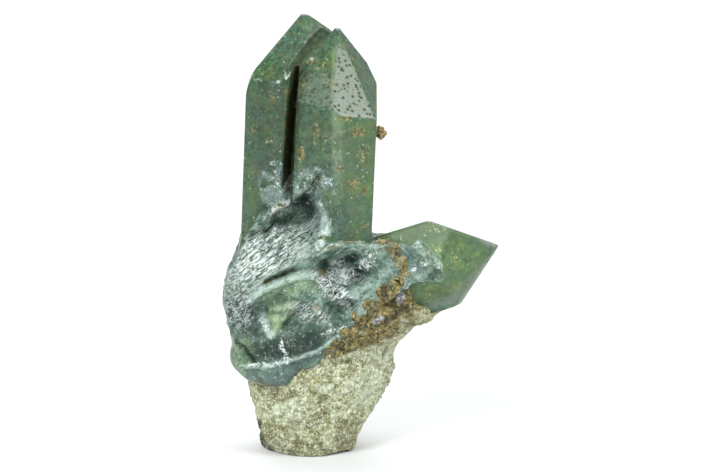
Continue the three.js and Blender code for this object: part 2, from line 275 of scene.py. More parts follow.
# Areas of the break, as the middle and the radii of an ellipse of the picture, and its turn.
LEDGE_STREAKS = 38
LEDGE = ((268, 249), (55, 24), LEDGE_STREAKS)
BOWL_RIDGE = ((281, 208), (13, 6), 35)
HACKLE = ((334, 290), (27, 9), -38)
WHITE_HACKLE = ((341, 275), (12, 9), -20)
SCOOP_HACKLE = ((308, 312), (22, 9), -12)
LEFT_MARGIN = ((240, 304), (15, 24), -10)
DARK_FACET = ((290, 346), (50, 17), 12)
# The lowest level of the valley between the tips and how far back it reaches, in mm.
VALLEY_FOOT = 58
VALLEY_BACK = 2.5
# Lines and corners of the picture.
VALLEY = ((295, 68), (300, 60), (307, 51), (314, 42.5), (322, 34.5), (329, 29))
LOBE_CREASE = ((236, 342), (246, 349), (253, 358), (258, 368))
CREVICE = ((264, 283), (272, 279), (281, 275), (293, 270))
FLAKE = ((266, 305), (302, 300), (272, 338))
SIDE_SHADE = ((435, 264), (449, 281), (424, 280))
CRUST_EDGE = ((394, 285), (386, 300), (377, 311), (365, 320), (356, 329), (343, 341), (329, 353))
BOWL_LIP = ((318, 203), (324, 214), (322, 232), (316, 246))
BOWL_RIM = ((333, 196), (335, 206), (326, 233), (318, 250))
SIDE_RIM = ((318, 250), (330, 247), (344, 242), (358, 238), (371, 235))
LOWER_RIM = ((241, 366), (263, 367), (288, 361), (318, 351), (338, 336))
SCOOP_RIM = ((250, 300), (262, 290), (282, 281), (300, 275), (312, 274))
# Height in mm and width in pixels of the rims that stand out.
RAISED_RIMS = (
    (0.6, 5, BOWL_RIM), (0.4, 4, BOWL_LIP), (0.6, 4, SIDE_RIM), (0.5, 4, LOWER_RIM), (0.5, 5, SCOOP_RIM),
)
# Height, direction in degrees, length in mm, seed and area of the streaks.
STREAKED_AREAS = (
    (0.42, LEDGE_STREAKS, 3.2, 3, LEDGE), (0.5, -38, 1.2, 4, HACKLE), (0.4, 60, 1.0, 6, WHITE_HACKLE),
    (0.35, 55, 1.6, 7, SCOOP_HACKLE), (0.4, -70, 1.6, 5, LEFT_MARGIN),
)
SCALLOP_COUNT = 90


def within(seen, corners):
    """How many pixels a point is inside a triangle of the picture, given clockwise."""
    inside = 1e9
    for (x0, y0), (x1, y1) in zip(corners, corners[1:] + corners[:1]):
        reach = math.hypot(x1 - x0, y1 - y0)
        inside = np.minimum(inside, ((x1 - x0) * (seen[1] - y0) - (y1 - y0) * (seen[0] - x0)) / reach)
    return inside


def streaks(x, z, turn, long, fine, seed):
    """Noise drawn out along one direction, as ridges."""
    along, across = turned(x, z, turn)
    place = np.stack([along / long, across / fine, np.full_like(x, seed)], -1).astype(np.float32)
    return 1 - 2 * np.abs(waver(place, 1.0, 3, seed))


def scallops(x, z):
    """Small shell-shaped hollows that meet in sharp ridges, as quartz breaks everywhere."""
    rng = np.random.default_rng(3)
    depth = np.zeros_like(x)
    for _ in range(SCALLOP_COUNT):
        middle = rng.uniform((-14, 11), (24, 42))
        size = rng.uniform(1.6, 4.2)
        along, across = turned(x - middle[0], z - middle[1], rng.uniform(0, 180))
        out = np.hypot(along / size, across / (size * rng.uniform(0.5, 0.8)))
        rings = 0.05 * np.cos(2 * math.pi * out * size / 0.8) * (out < 1)
        depth = np.maximum(depth, 0.24 * size * (1 - out * out) + rings)
    return depth


def fine_relief(x, z):
    """Streaks, hackle and small steps of the break, as extra depth."""
    seen = seen_at(x, -8, z)
    flat = np.stack([x, np.zeros_like(x), z], -1).astype(np.float32)
    ledge, facet = spot(seen, *LEDGE), spot(seen, *DARK_FACET)
    flake = within(seen, FLAKE)
    calm = np.maximum.reduce([ledge, facet, smooth(flake, -2, 3)])
    depth = scallops(x, z) * (1 - 0.85 * calm) + 0.3 * waver(flat, 4.5, 1, 2)
    depth += 0.10 * waver(flat, 1.3, 3, 1) * (1 - 0.6 * facet)
    for height, turn, long, seed, area in STREAKED_AREAS:
        depth -= height * streaks(x, z, turn, long, 0.8, seed) * spot(seen, *area)
    depth -= 1.5 * spot(seen, *BOWL_RIDGE)
    depth += 0.5 * line(seen, 3, *CREVICE) + 0.5 * line(seen, 3, *LOBE_CREASE)
    depth -= 0.3 * smooth(flake + 3 * waver(flat, 0.9, 2, 17), -1, 2)
    depth -= 0.25 * streaks(x, z, 65, 2.5, 0.7, 18) * smooth(flake, -3, 4)
    for height, width, corners in RAISED_RIMS:
        depth -= height * line(seen, width, *corners)
    return depth


# Flat breaks, as the direction that they face and a point on them.
FLAT_BREAKS = dict(
    ledge=((-0.45, -0.62, 0.64), (-3.7, -9, 32)), roof=((0.4, -0.6, -0.8), (-1.5, -4.7, 40.9)),
    wall=((-0.85, -0.53, 0), (2.5, -9.5, 36)), front=((-0.05, -1, 0.02), (0, -10.2, 26)),
    prism_end=((0.3, -0.4, -0.9), (1.7, -10.1, 33.4)), side=((-0.9, -0.45, 0), (12, -10, 30)),
    facet=((-0.1, -0.93, -0.35), (-3.8, -9.5, 18.2)), margin=((-0.75, -0.66, 0.1), (-10.5, -8, 24)),
)


def break_shape(x, z):
    """Depth Y of the whole break surface. Everything in front of it is gone."""
    exact_x, exact_z = x, z
    flat = np.stack([x, np.zeros_like(x), z], -1).astype(np.float32)
    x = x + 0.9 * waver(flat, 3.2, 3, 15)
    z = z + 0.9 * waver(flat, 3.2, 3, 16)
    flats = {name: flat_break(*face, x, z) for name, face in FLAT_BREAKS.items()}
    step = nearer(nearer(flats["ledge"], flats["roof"]), flats["wall"])
    depth = deeper(step, nearer(nearer(flats["front"], flats["prism_end"]), flats["side"]))
    depth = deeper(depth, nearer(flats["facet"], flats["side"]))
    depth = deeper(depth, flats["margin"])
    for hollow in HOLLOWS:
        depth = deeper(depth, shell_break(x, z, *hollow))
    return depth + fine_relief(exact_x, exact_z)


BREAK_STEP = 0.12
BREAK_LOW = (-18.0, 7.0)
break_x = np.arange(BREAK_LOW[0], 32, BREAK_STEP)
break_z = np.arange(BREAK_LOW[1], 72, BREAK_STEP)
break_map = break_shape(*(side.ravel() for side in np.meshgrid(break_x, break_z, indexing="ij")))
break_map = break_map.reshape(len(break_x), len(break_z)).astype(np.float32)


def break_depth(x, z):
    """The break surface's depth, read between the points of its map."""
    u = np.clip((x - BREAK_LOW[0]) / BREAK_STEP, 0, len(break_x) - 1.01)
    v = np.clip((z - BREAK_LOW[1]) / BREAK_STEP, 0, len(break_z) - 1.01)
    i, j = u.astype(int), v.astype(int)
    u, v = u - i, v - j
    near = break_map[i, j] * (1 - v) + break_map[i, j + 1] * v
    far = break_map[i + 1, j] * (1 - v) + break_map[i + 1, j + 1] * v
    return near * (1 - u) + far * u


def root(points):
    """Distance out of the root that the three crystals grew from, which is broken on every side."""
    block = nearer(convex(points, ROOT_BLOCK, 1.2), convex(points, ROOT_SHOULDER, 1.2), 0.8)
    near = np.abs(block) < 1.5
    close = points[near]
    block[near] += 0.3 * waver(close, 3.0, 2, 8) - 0.25 * np.abs(waver(close, 1.3, 2, 9))
    return block


def quartz_body(points):
    """Distance out of the unbroken quartz."""
    crystals = [convex(points, faces, rounding) for faces, rounding in ROUNDED_CRYSTALS]
    return nearer(np.minimum.reduce(crystals), root(points), 0.8)


def quartz_break(points):
    """How far in front of the break surface a point is."""
    x, y, z = points.T
    return (break_depth(x, z) - y) * 0.6


def from_right_wall(points):
    """How far a point of the growth slot is from its right wall."""
    normals, distances = GROWTH_SLOT
    return distances[1] - points @ normals[1].astype(np.float32)


def quartz_field(points):
    """Distance out of the quartz as it is, broken and grooved."""
    body = np.maximum(quartz_body(points), quartz_break(points))
    high = (points[:, 2] > VALLEY_FOOT) & (np.abs(body) < 3) & (points[:, 1] < VALLEY_BACK)
    body[high] += 0.3 * line(seen_at(*points[high].T), 7, *VALLEY)
    blend = 0.2 + 1.8 * smooth(from_right_wall(points), 0.8, 2.2)
    body = deeper(body, -convex(points, GROWTH_SLOT), blend)
    for at, radii in ROOT_LOBES:
        body = nearer(body, ball(points, at, radii), 0.8)
    return body


def surface(field, low, high, cell):
    """The surface where a field is zero, as vertices and four-sided faces. Each vertex is put where
    the flat pieces that cross its cell meet, so that sharp edges stay sharp."""
    low, high = np.array(low, float), np.array(high, float)
    block = 8  # cells along each side of the blocks that are tried first
    batch = 400000  # points in one call of the field, for the sake of memory
    blocks = np.ceil((high - low) / (cell * block)).astype(int)
    middles = [low[a] + (np.arange(blocks[a]) + 0.5) * cell * block for a in range(3)]
    coarse = np.stack(np.meshgrid(*middles, indexing="ij"), -1).reshape(-1, 3).astype(np.float32)
    rough = field(coarse).reshape(blocks)
    values = rough.repeat(block, 0).repeat(block, 1).repeat(block, 2)
    axes = [low[a] + (np.arange(values.shape[a]) + 0.5) * cell for a in range(3)]
    chosen = np.argwhere(np.abs(values) < cell * block * 1.5)
    for part in np.array_split(chosen, max(1, len(chosen) // batch)):
        place = np.stack([axes[a][part[:, a]] for a in range(3)], -1).astype(np.float32)
        values[tuple(part.T)] = field(place)

    inside = values < 0
    shape = np.array(values.shape)
    places, cells, inward = [], [], []
    for axis in range(3):
        start = np.argwhere(np.diff(inside, axis=axis))
        start = start[(start > 0).all(1) & (start < shape - 2).all(1)]
        end = start.copy()
        end[:, axis] += 1
        a, b = values[tuple(start.T)], values[tuple(end.T)]
        place = np.stack([axes[k][start[:, k]] for k in range(3)], -1)
        place[:, axis] += a / (a - b) * cell
        places.append(place)
        u, v = [k for k in range(3) if k != axis]
        around = start[None].repeat(4, 0)
        around[..., u] -= [[1], [0], [0], [1]]
        around[..., v] -= [[1], [1], [0], [0]]
        cells.append(np.ravel_multi_index(np.moveaxis(around, -1, 0), shape))
        inward.append((a < 0) == (axis != 1))

    place = np.concatenate(places).astype(np.float32)
    step = np.float32(cell * 0.3)
    here = field(place)
    slopes = np.stack([
        field(place + step * np.float32(np.eye(3)[k])) - here for k in range(3)
    ], -1).astype(float)
    slopes /= np.linalg.norm(slopes, axis=1)[:, None] + 1e-12

    found, index = np.unique(np.concatenate(cells, axis=1), return_inverse=True)
    index = index.ravel()
    owner = np.tile(np.arange(len(place)), 4)
    count = np.bincount(index)
    middle = np.stack([np.bincount(index, place[owner, k]) for k in range(3)], -1) / count[:, None]
    normal = slopes[owner]
    reach = np.einsum("ij,ij->i", normal, place[owner] - middle[index])
    pull = np.stack([np.bincount(index, normal[:, k] * reach) for k in range(3)], -1)
    matrix = np.zeros((len(found), 3, 3))
    for i in range(3):
        for j in range(3):
            matrix[:, i, j] = np.bincount(index, normal[:, i] * normal[:, j])
    matrix += np.eye(3) * 0.05 * count[:, None, None]
    offset = np.linalg.solve(matrix, pull[..., None])[..., 0]
    vertices = middle + np.clip(offset, -0.6 * cell, 0.6 * cell)

    corners = index.reshape(4, -1).T
    return vertices, np.where(np.concatenate(inward)[:, None], corners, corners[:, ::-1])


def make_mesh(name, vertices, faces, masks=None, sharp=32):
    """A mesh object from millimetre points, smooth but for its sharp edges, with masks by vertex."""
    mesh = bpy.data.meshes.new(name)
    mesh.from_pydata((vertices * MM).tolist(), [], faces.tolist())
    mesh.validate()
    mesh.polygons.foreach_set("use_smooth", [True] * len(mesh.polygons))
    mesh.set_sharp_from_angle(angle=math.radians(sharp))
    for mask, values in (masks or {}).items():
        attribute = mesh.attributes.new(mask, "FLOAT", "POINT")
        attribute.data.foreach_set("value", np.clip(values, 0, 1).astype(np.float32))
    piece = bpy.data.objects.new(name, mesh)
    bpy.context.scene.collection.objects.link(piece)
    return piece


def largest_part(vertices, faces):
    """Drops loose crumbs: only the part that most faces share is kept."""
    label = np.arange(len(vertices))
    while True:
        lowest = label[faces].min(1)
        new = label.copy()
        np.minimum.at(new, faces.ravel(), lowest.repeat(4))
        new = new[new]
        if (new == label).all():
            break
        label = new
    main = np.bincount(label[faces[:, 0]]).argmax()
    keep = label == main
    faces = faces[keep[faces[:, 0]]]
    number = np.cumsum(keep) - 1
    return vertices[keep], number[faces]


QUARTZ_BOX = ((-15, -12.5, 9), (31.5, 12, 70.5))
quartz_points, quartz_faces = largest_part(*surface(quartz_field, *QUARTZ_BOX, QUARTZ_CELL))

# Where each kind of surface is in the picture, as spots and lines after their strength.
HACKLED_SPOTS = ((1, (277, 186), (18, 22)), (1, (314, 188), (26, 19), -10))
LEFT_SHOULDER = ((303, 74), (298, 92), (294, 120), (291, 150), (288, 186))
EDGE_GAP = ((288, 76), (9, 11))
PALE_SPOTS = ((0.6, (366, 294), (15, 16), -20), (0.6, (299, 262), (18, 6), 25))
PALE_LINES = (
    (1, 4, *BOWL_LIP), (1, 6, *BOWL_RIM), (1, 5, *SIDE_RIM), (0.8, 3, *LOWER_RIM), (0.9, 6, *SCOOP_RIM),
    (0.8, 6, (340, 254), (352, 247), (365, 244), (381, 247)),
    (1, 6, (262, 316), (266, 326), (271, 335)),
    (0.5, 6, (333, 262), (345, 250), (362, 244), (380, 248)),
    (1, 2.5, (399, 227), (412, 239), (430, 254), (449, 272)),
    (0.8, 2, (404, 238), (420, 252), (438, 268)), (0.7, 3, (424, 264), (432, 262), (436, 264)),
)
SLATE_SPOTS = (
    (1, (281, 377), (17, 13), 0, 0.3), (1, (306, 358), (22, 8), 26, 0.3), (0.9, (316, 222), (7, 22)),
    (1, (416, 256), (15, 24), 42, 0.3), (0.6, (388, 234), (13, 6), 20),
)
STREAKED_SPOTS = (
    (1, *LEDGE), (1, *BOWL_RIDGE), (1, *HACKLE), (1, *WHITE_HACKLE), (0.8, *SCOOP_HACKLE),
    (0.6, *LEFT_MARGIN),
)
# Dark spots and lines: partly dark clear quartz, partly painted shade in hollows, creases and under
# ledges.
BOWL_SPOTS = ((1, (303, 208), (12, 14), 20, 0.25), (1, (291, 220), (20, 6), 8, 0.3))
DARK_SPOTS = (
    (0.8, *DARK_FACET), (1, (349, 258), (10, 5), 10, 0.3), (1, (360, 274), (9, 11), -10, 0.4),
    (0.7, (324, 268), (5, 9)), (0.8, (243, 316), (16, 22), 20), (0.7, (256, 330), (9, 10)),
    (0.9, (290, 184), (4, 9)),
)
DARK_LINES = ((0.8, 7, (316, 272), (330, 286), (346, 300), (354, 306)), (0.9, 4, *LOBE_CREASE))
MOSSY_SPOTS = (
    (1, (243, 354), (11, 18)), (0.8, (281, 293), (22, 9), 14), (0.8, (304, 284), (20, 8), -8),
    (0.6, (246, 200), (10, 30)), (0.9, (440, 290), (25, 9), 10), (0.9, (456, 257), (34, 22), -12),
    (0.5, (420, 232), (26, 9), 8), (0.4, (361, 165), (17, 60)),
)
STAIN_SPOTS = (
    (0.7, (290, 269), (6, 3), 15), (0.8, (357, 133), (6, 4)), (0.7, (318, 180), (6, 5)),
    (0.8, (321, 273), (5, 6)), (0.5, (374, 256), (8, 4), -20), (0.4, (441, 289), (20, 7), 10),
    (0.4, (311, 61), (8, 6)),
)
STAIN_LINES = (
    (0.7, 4.5, *CREVICE), (1, 10, (382, 243), (390, 247), (396, 256)),
    (1, 7, (396, 245), (398, 258), (404, 274)), (0.9, 5, (286, 110), (286, 150), (286, 184)),
    (0.6, 5, (318, 250), (330, 249), (345, 243), (360, 240)),
)
GLINT_SPOTS = (
    (1, *BOWL_RIDGE), (1, *WHITE_HACKLE), (1, (365, 265), (9, 6)), (0.7, (372, 254), (8, 4), -15),
    (0.4, (273, 174), (12, 12)), (0.4, (314, 184), (20, 10)), (0.8, (401, 238), (3, 4)),
    (0.7, (424, 264), (4, 3)), (0.7, (414, 270), (3, 2)), (0.9, (338, 264), (7, 5)),
    (1, (438, 250), (5, 3), -25), (0.9, (456, 257), (6, 2.5), -30), (0.7, (466, 264), (4, 2), -20),
    (0.5, (440, 228), (12, 4), -15),
)
GLINT_LINES = (
    (0.8, 4, (281, 341), (283, 350), (289, 362)), (0.7, 4, (250, 364), (268, 365)),
    (0.7, 4, (272, 365), (290, 360)), (0.6, 4, (324, 334), (333, 331), (345, 328)),
    (0.6, 6, (262, 322), (267, 330), (272, 336)),
    (0.8, 5, (322, 212), (327, 224), (322, 240), (318, 247)),
)
GRAIN_CLUSTERS = (
    (1, (358, 132), (7, 5)), (1, (346, 119), (9, 3)), (1, (312, 62), (5, 3)), (1, (323, 65), (4, 3)),
    (1, (298, 43), (7, 5)), (1, (316, 30), (5, 6)), (1, (316, 130), (4, 6)), (1, (269, 141), (4, 3)),
    (1, (253, 130), (3, 5)), (1, (301, 154), (3, 7)), (1, (364, 153), (5, 9)), (1, (340, 169), (5, 3)),
    (1, (353, 184), (7, 6)), (1, (365, 189), (3, 5)),
)
CRUSTED_SPOTS = ((1, (384, 290), (8, 9)),)
CRUSTED_LINES = ((1, 10, *CRUST_EDGE), (0.8, 6, (396, 246), (399, 258), (404, 272), (400, 284)))
CLEAR_SPOTS = ((1, (494, 243), (15, 5), -22), (0.6, (443, 302), (18, 5), 14))
CLEAR_LINES = ((1, 5, (500, 246), (460, 308)),)
# How worn an edge is between two side faces, a side and an end face, and two end faces.
EDGE_WEAR = np.array([0.1, 1.0, 0.2])
WORN_CRYSTALS = ((BACK_CRYSTAL, 1), (FRONT_CRYSTAL, 1), (SIDE_CRYSTAL, 0.3))


def worn_edges(points):
    """1 along the crystals' most worn edges."""
    worn = np.zeros(len(points))
    for faces, share in WORN_CRYSTALS:
        out = beyond(points, faces)
        order = np.argsort(out, axis=1)[:, -2:]
        out = np.take_along_axis(out, order, 1)
        on_crystal = np.abs(out[:, 1]) < 0.25
        ends = ((order % 2 == 1) & (order < 12)).sum(1)
        near_edge = 1 - smooth(out[:, 1] - out[:, 0], 0.05, 0.35)
        worn = np.maximum(worn, share * EDGE_WEAR[ends] * on_crystal * near_edge)
    return worn


def quartz_masks(points):
    """Where on the quartz each kind of surface is, from 0 to 1 at each vertex."""
    points = points.astype(np.float32)
    x, y, z = points.T
    seen = seen_at(x, y, z)
    toward_camera = 1 - smooth(y, -3.5, -1)
    fuzz = waver(points, 1.2, 2, 14)
    hackled = smooth(marked(seen, HACKLED_SPOTS) * (1 + 1.1 * fuzz), 0.35, 0.65) * toward_camera
    on_root = 1 - smooth(root(points) - quartz_body(points), 0.0, 0.3)
    broken = np.maximum.reduce([smooth(quartz_break(points), -0.12, -0.04), hackled, on_root])
    grown = 1 - broken

    out = beyond(points, FRONT_CRYSTAL)
    on_front = (np.abs(out.max(1)) < 0.15) & (broken < 0.5)
    end = {side: out.argmax(1) == face for side, face in FRONT_END_FACES.items()}
    in_valley = line(seen, 9, *VALLEY) * (z > VALLEY_FOOT)
    in_groove = np.abs(convex(points, GROWTH_SLOT)) < 0.15
    left_shoulder = line(seen, 10, *LEFT_SHOULDER) * (z > 40)
    left_crystal = np.abs(convex(points, BACK_CRYSTAL)) < np.abs(convex(points, FRONT_CRYSTAL))
    below_frost = smooth(seen[1], 205, 160) * on_front

    bowl = marked(seen, BOWL_SPOTS)
    flake = within(seen, FLAKE)
    side_shade = smooth(within(seen, SIDE_SHADE) + fuzz, -1, 2)
    dark = np.maximum.reduce([bowl, marked(seen, DARK_SPOTS, DARK_LINES), 0.6 * side_shade])
    dark = dark * (1 - spot(seen, *BOWL_RIDGE)) * (1 - 0.7 * smooth(flake, -4, 2))
    streaked = np.maximum(marked(seen, STREAKED_SPOTS), 0.12 * hackled)
    stain = marked(seen, STAIN_SPOTS, STAIN_LINES) * (1 + 0.8 * waver(points, 0.9, 2, 19))
    on_side = np.abs(beyond(points, SIDE_CRYSTAL).max(1)) < 0.3
    crusted = marked(seen, CRUSTED_SPOTS, CRUSTED_LINES)
    shown = {
        # the end faces: frosting, and a pale colour that paints their sheen
        "frost_and_sheen": on_front * (end["right"] + 0.5 * end["left"] * smooth(seen[1], 62, 80)),
        "pale": marked(seen, PALE_SPOTS, PALE_LINES),
        "streaked": streaked * (1 - 0.85 * bowl),
        "mossy": marked(seen, MOSSY_SPOTS),
        "stain": smooth(stain, 0.2, 0.9),
        "leafy": smooth(flake + 3 * fuzz, -2, 3),
        "glint": marked(seen, GLINT_SPOTS, GLINT_LINES),
        "slate": np.maximum(marked(seen, SLATE_SPOTS), 0.45 * hackled),
        # a lighter band down the prism face: painted highlight along its ridge
        "highlight_strip": smooth(seen[0], 330, 334) * smooth(seen[0], 347, 339) * below_frost,
        # painted shade: the left crystal darker, more so toward the left
        "left_shade": left_crystal * (0.6 + 0.4 * smooth(seen[0], 300, 250)),
        "dark": np.maximum(dark, 0.6 * on_front * end["side"]),
        "crusted": smooth(crusted + 0.5 * fuzz, 0.35, 0.75),
        "clusters": marked(seen, GRAIN_CLUSTERS) * grown,
        "clear": on_side * marked(seen, CLEAR_SPOTS, CLEAR_LINES) * grown,
    }
    masks = {name: mask * toward_camera for name, mask in shown.items()}
    masks.update(
        broken=broken,
        edge=worn_edges(points) * grown * (1 - in_valley) * (1 - spot(seen, *EDGE_GAP)),
        # painted shade in the growth slot, darkest at its right wall
        groove=in_groove * (1 - smooth(from_right_wall(points), 0.3, 1.8)),
        shade=np.maximum(in_valley, 0.9 * left_shoulder) * (y < VALLEY_BACK) * grown,
        upright=np.maximum(smooth(x, 14, 12), broken),
    )
    return masks


quartz = make_mesh("quartz_crystals", quartz_points, quartz_faces, quartz_masks(quartz_points))


class Wire:
    """The output of a node. Sums and products of wires and numbers add Math nodes."""

    def __init__(self, finish, socket):
        self.finish = finish
        self.socket = socket

    def math(self, operation, *others):
        terms = dict(enumerate([self, *others]))
        return self.finish.node("ShaderNodeMath", {"operation": operation}, terms)

    def __add__(self, other):
        return self.math("ADD", other)

    def __sub__(self, other):
        return self.math("SUBTRACT", other)

    def __rsub__(self, other):
        return self.finish.node("ShaderNodeMath", {"operation": "SUBTRACT"}, {0: other, 1: self})

    def __mul__(self, other):
        return self.math("MULTIPLY", other)

    __radd__ = __add__
    __rmul__ = __mul__

    def step(self, low, high):
        """0 below low, 1 above high, and smooth between."""
        settings = {"interpolation_type": "SMOOTHSTEP"}
        return self.finish.node("ShaderNodeMapRange", settings, {0: self, 1: low, 2: high})


class Finish:
    """One material, made of nodes. Its place is where a point of the piece is, in millimetres."""

    def __init__(self, name):
        self.material = bpy.data.materials.new(name)
        self.material.use_nodes = True
        self.tree = self.material.node_tree
        self.tree.nodes.clear()
        where = self.node("ShaderNodeTexCoord", out=3)
        scale = {0: where, "Scale": 1 / MM}
        self.place = self.node("ShaderNodeVectorMath", {"operation": "SCALE"}, scale)

    def node(self, kind, settings=None, sockets=None, out=0):
        """Adds a node, with its settings first and then its sockets, as values or wires."""
        made = self.tree.nodes.new(kind)
        for key, value in (settings or {}).items():
            setattr(made, key, value)
        for key, value in (sockets or {}).items():
            socket = made.inputs[key]
            if isinstance(value, Wire):
                self.tree.links.new(value.socket, socket)
            elif socket.type == "RGBA":
                socket.default_value = (*value, 1)
            else:
                socket.default_value = value
        return Wire(self, made.outputs[out]) if made.outputs else None

    def noise(self, size, detail=2, rough=0.5, stretch=None, warp=0, place=None):
        """Noise about size across, in millimetres."""
        place = place or self.place
        if stretch:
            place = self.node("ShaderNodeVectorMath", {"operation": "MULTIPLY"}, {0: place, 1: stretch})
        return self.node("ShaderNodeTexNoise", {}, {
            "Vector": place, "Scale": 1 / size, "Detail": detail, "Roughness": rough, "Distortion": warp,
        })

    def mix(self, share, a, b):
        """Colour a where share is 0 and b where it is 1."""
        return self.node("ShaderNodeMix", {"data_type": "RGBA"}, {0: share, 6: a, 7: b}, out=2)

    def layers(self, color, *tops):
        """A colour with others laid over it, each after its share."""
        for share, top in tops:
            color = self.mix(share, color, top)
        return color

    def dots(self, spacing, radius, share):
        """Round specks scattered about spacing apart. Share is how many of them there are."""
        sockets = {"Vector": self.place, "Scale": 1 / spacing}
        near = self.node("ShaderNodeTexVoronoi", {}, sockets)
        chance = self.node("ShaderNodeTexVoronoi", {}, sockets, out=1)
        chosen = self.node("ShaderNodeSeparateColor", {}, {"Color": chance}).step(share + 0.01, share)
        return near.step(radius / spacing * 1.2, radius / spacing * 0.8) * chosen

    def mask(self, name):
        return self.node("ShaderNodeAttribute", {"attribute_name": name}, out=2)

    def bump(self, height, distance, strength=1.0, over=None):
        sockets = {"Height": height, "Distance": distance * MM, "Strength": strength}
        if over:
            sockets["Normal"] = over
        return self.node("ShaderNodeBump", {}, sockets)

    def finish_with(self, shader):
        self.node("ShaderNodeOutputMaterial", {}, {"Surface": shader})
        return self.material


MOSS = (0.038, 0.1, 0.032)
DEEP_MOSS = (0.01, 0.026, 0.011)
TEAL = (0.042, 0.102, 0.066)
LEAF = (0.095, 0.18, 0.055)
YELLOW_LEAF = (0.17, 0.24, 0.045)
PALE_LEAF = (0.24, 0.33, 0.18)
OLIVE = (0.075, 0.08, 0.022)
BROWN_SPECK = (0.105, 0.086, 0.026)
CREAM_SPECK = (0.4, 0.4, 0.24)
# Pale colour of the frosting on the end faces, which also paints their sheen.
FROST_SHEEN = (0.12, 0.155, 0.115)
CLEAR_GREY = (0.19, 0.22, 0.21)
BREAK_TEAL = (0.046, 0.108, 0.074)
PALE_BREAK = (0.2, 0.31, 0.245)
RIM = (0.33, 0.45, 0.39)
SLATE = (0.085, 0.148, 0.13)
# Near black, painted shade in the growth slot, darkest at its right wall.
GROOVE_SHADE = (0.012, 0.014, 0.006)
SHADED_MOSS = (0.014, 0.023, 0.006)
LOBE_GREEN = (0.19, 0.31, 0.15)
CRUST_OCHRE = (0.23, 0.18, 0.045)
CRUST_CREAM = (0.52, 0.46, 0.24)
CRUST_DARK = (0.028, 0.022, 0.008)
DARK_BREAK = (0.008, 0.02, 0.015)
GLINT = (0.64, 0.7, 0.68)


def veins(f, size, width):
    """Thin bent lines, as cracks and fibres just under the surface."""
    bent = f.noise(size, 4, 0.7, warp=1.5) - 0.5
    return bent.math("ABSOLUTE").step(width, width * 0.4)


def crust_color(f):
    """Brown and ochre grains with dark gaps and cream tops."""
    return f.layers(
        CRUST_OCHRE,
        (f.noise(0.8, 5, 0.75).step(0.44, 0.56), CRUST_DARK),
        (f.noise(0.5, 4, 0.75).step(0.55, 0.62), CRUST_CREAM),
    )


def frost_pits(f):
    """Small round pits in the end faces with frosting and painted sheen."""
    return f.dots(0.72, 0.27, 0.95) * f.noise(0.35, 2, 0.6).step(0.25, 0.45)


def grown_color(f):
    """Moss-green inclusions under the natural faces, brown and cream specks, and painted sheen on end
    faces.
    """
    mossy, glint = f.mask("mossy"), f.mask("glint")
    brown = f.noise(0.6, 4, 0.75).step(0.56, 0.62) * f.noise(3, 2).step(0.44, 0.6)
    cream = (f.noise(0.42, 3, 0.65) + glint * 0.14).step(0.64, 0.69)
    green = f.layers(
        MOSS,
        (f.noise(6, 3).step(0.38, 0.62), TEAL),
        (f.noise(2.6, 5, 0.65, warp=0.6).step(0.48, 0.7) * 0.6, LEAF),
        (f.noise(0.8, 5, 0.8).step(0.42, 0.62) * 0.8, DEEP_MOSS),
        # painted shade on the left crystal
        (f.mask("left_shade") * 0.4, DEEP_MOSS),
        (f.noise(2.6, 3, 0.6).step(0.54, 0.7) * 0.5, OLIVE),
        (mossy * 0.6, LEAF),
        (mossy * f.noise(1.6, 4, 0.7).step(0.5, 0.64) * 0.6, YELLOW_LEAF),
        (mossy * f.noise(0.9, 5, 0.8).step(0.46, 0.6) * 0.6, DEEP_MOSS),
        # painted highlight along the prism's ridge
        (f.mask("highlight_strip") * f.noise(2.2, 4, 0.7).step(0.3, 0.6) * 0.4, PALE_LEAF),
        (brown * 0.85, BROWN_SPECK),
        (cream * (f.noise(2.5, 3).step(0.4, 0.6) + glint) * 0.9, CREAM_SPECK),
        (f.dots(0.8, 0.15, 0.4) * f.noise(1.5, 3).step(0.46, 0.58) * 0.7, CREAM_SPECK),
        (f.mask("edge") * f.noise(0.6, 3).step(0.42, 0.6) * 0.4, PALE_BREAK),
    )
    # end faces: a pale painted sheen over the frosting, with pits and specks
    sheen_face = f.layers(
        FROST_SHEEN,
        (f.noise(0.8, 4, 0.7).step(0.4, 0.7) * 0.4, TEAL),
        (frost_pits(f) * 0.9, DEEP_MOSS),
        (f.dots(0.47, 0.14, 0.6) * f.noise(1.2, 2).step(0.42, 0.55) * 0.8, BROWN_SPECK),
    )
    return f.mix(f.mask("frost_and_sheen"), green, sheen_face)


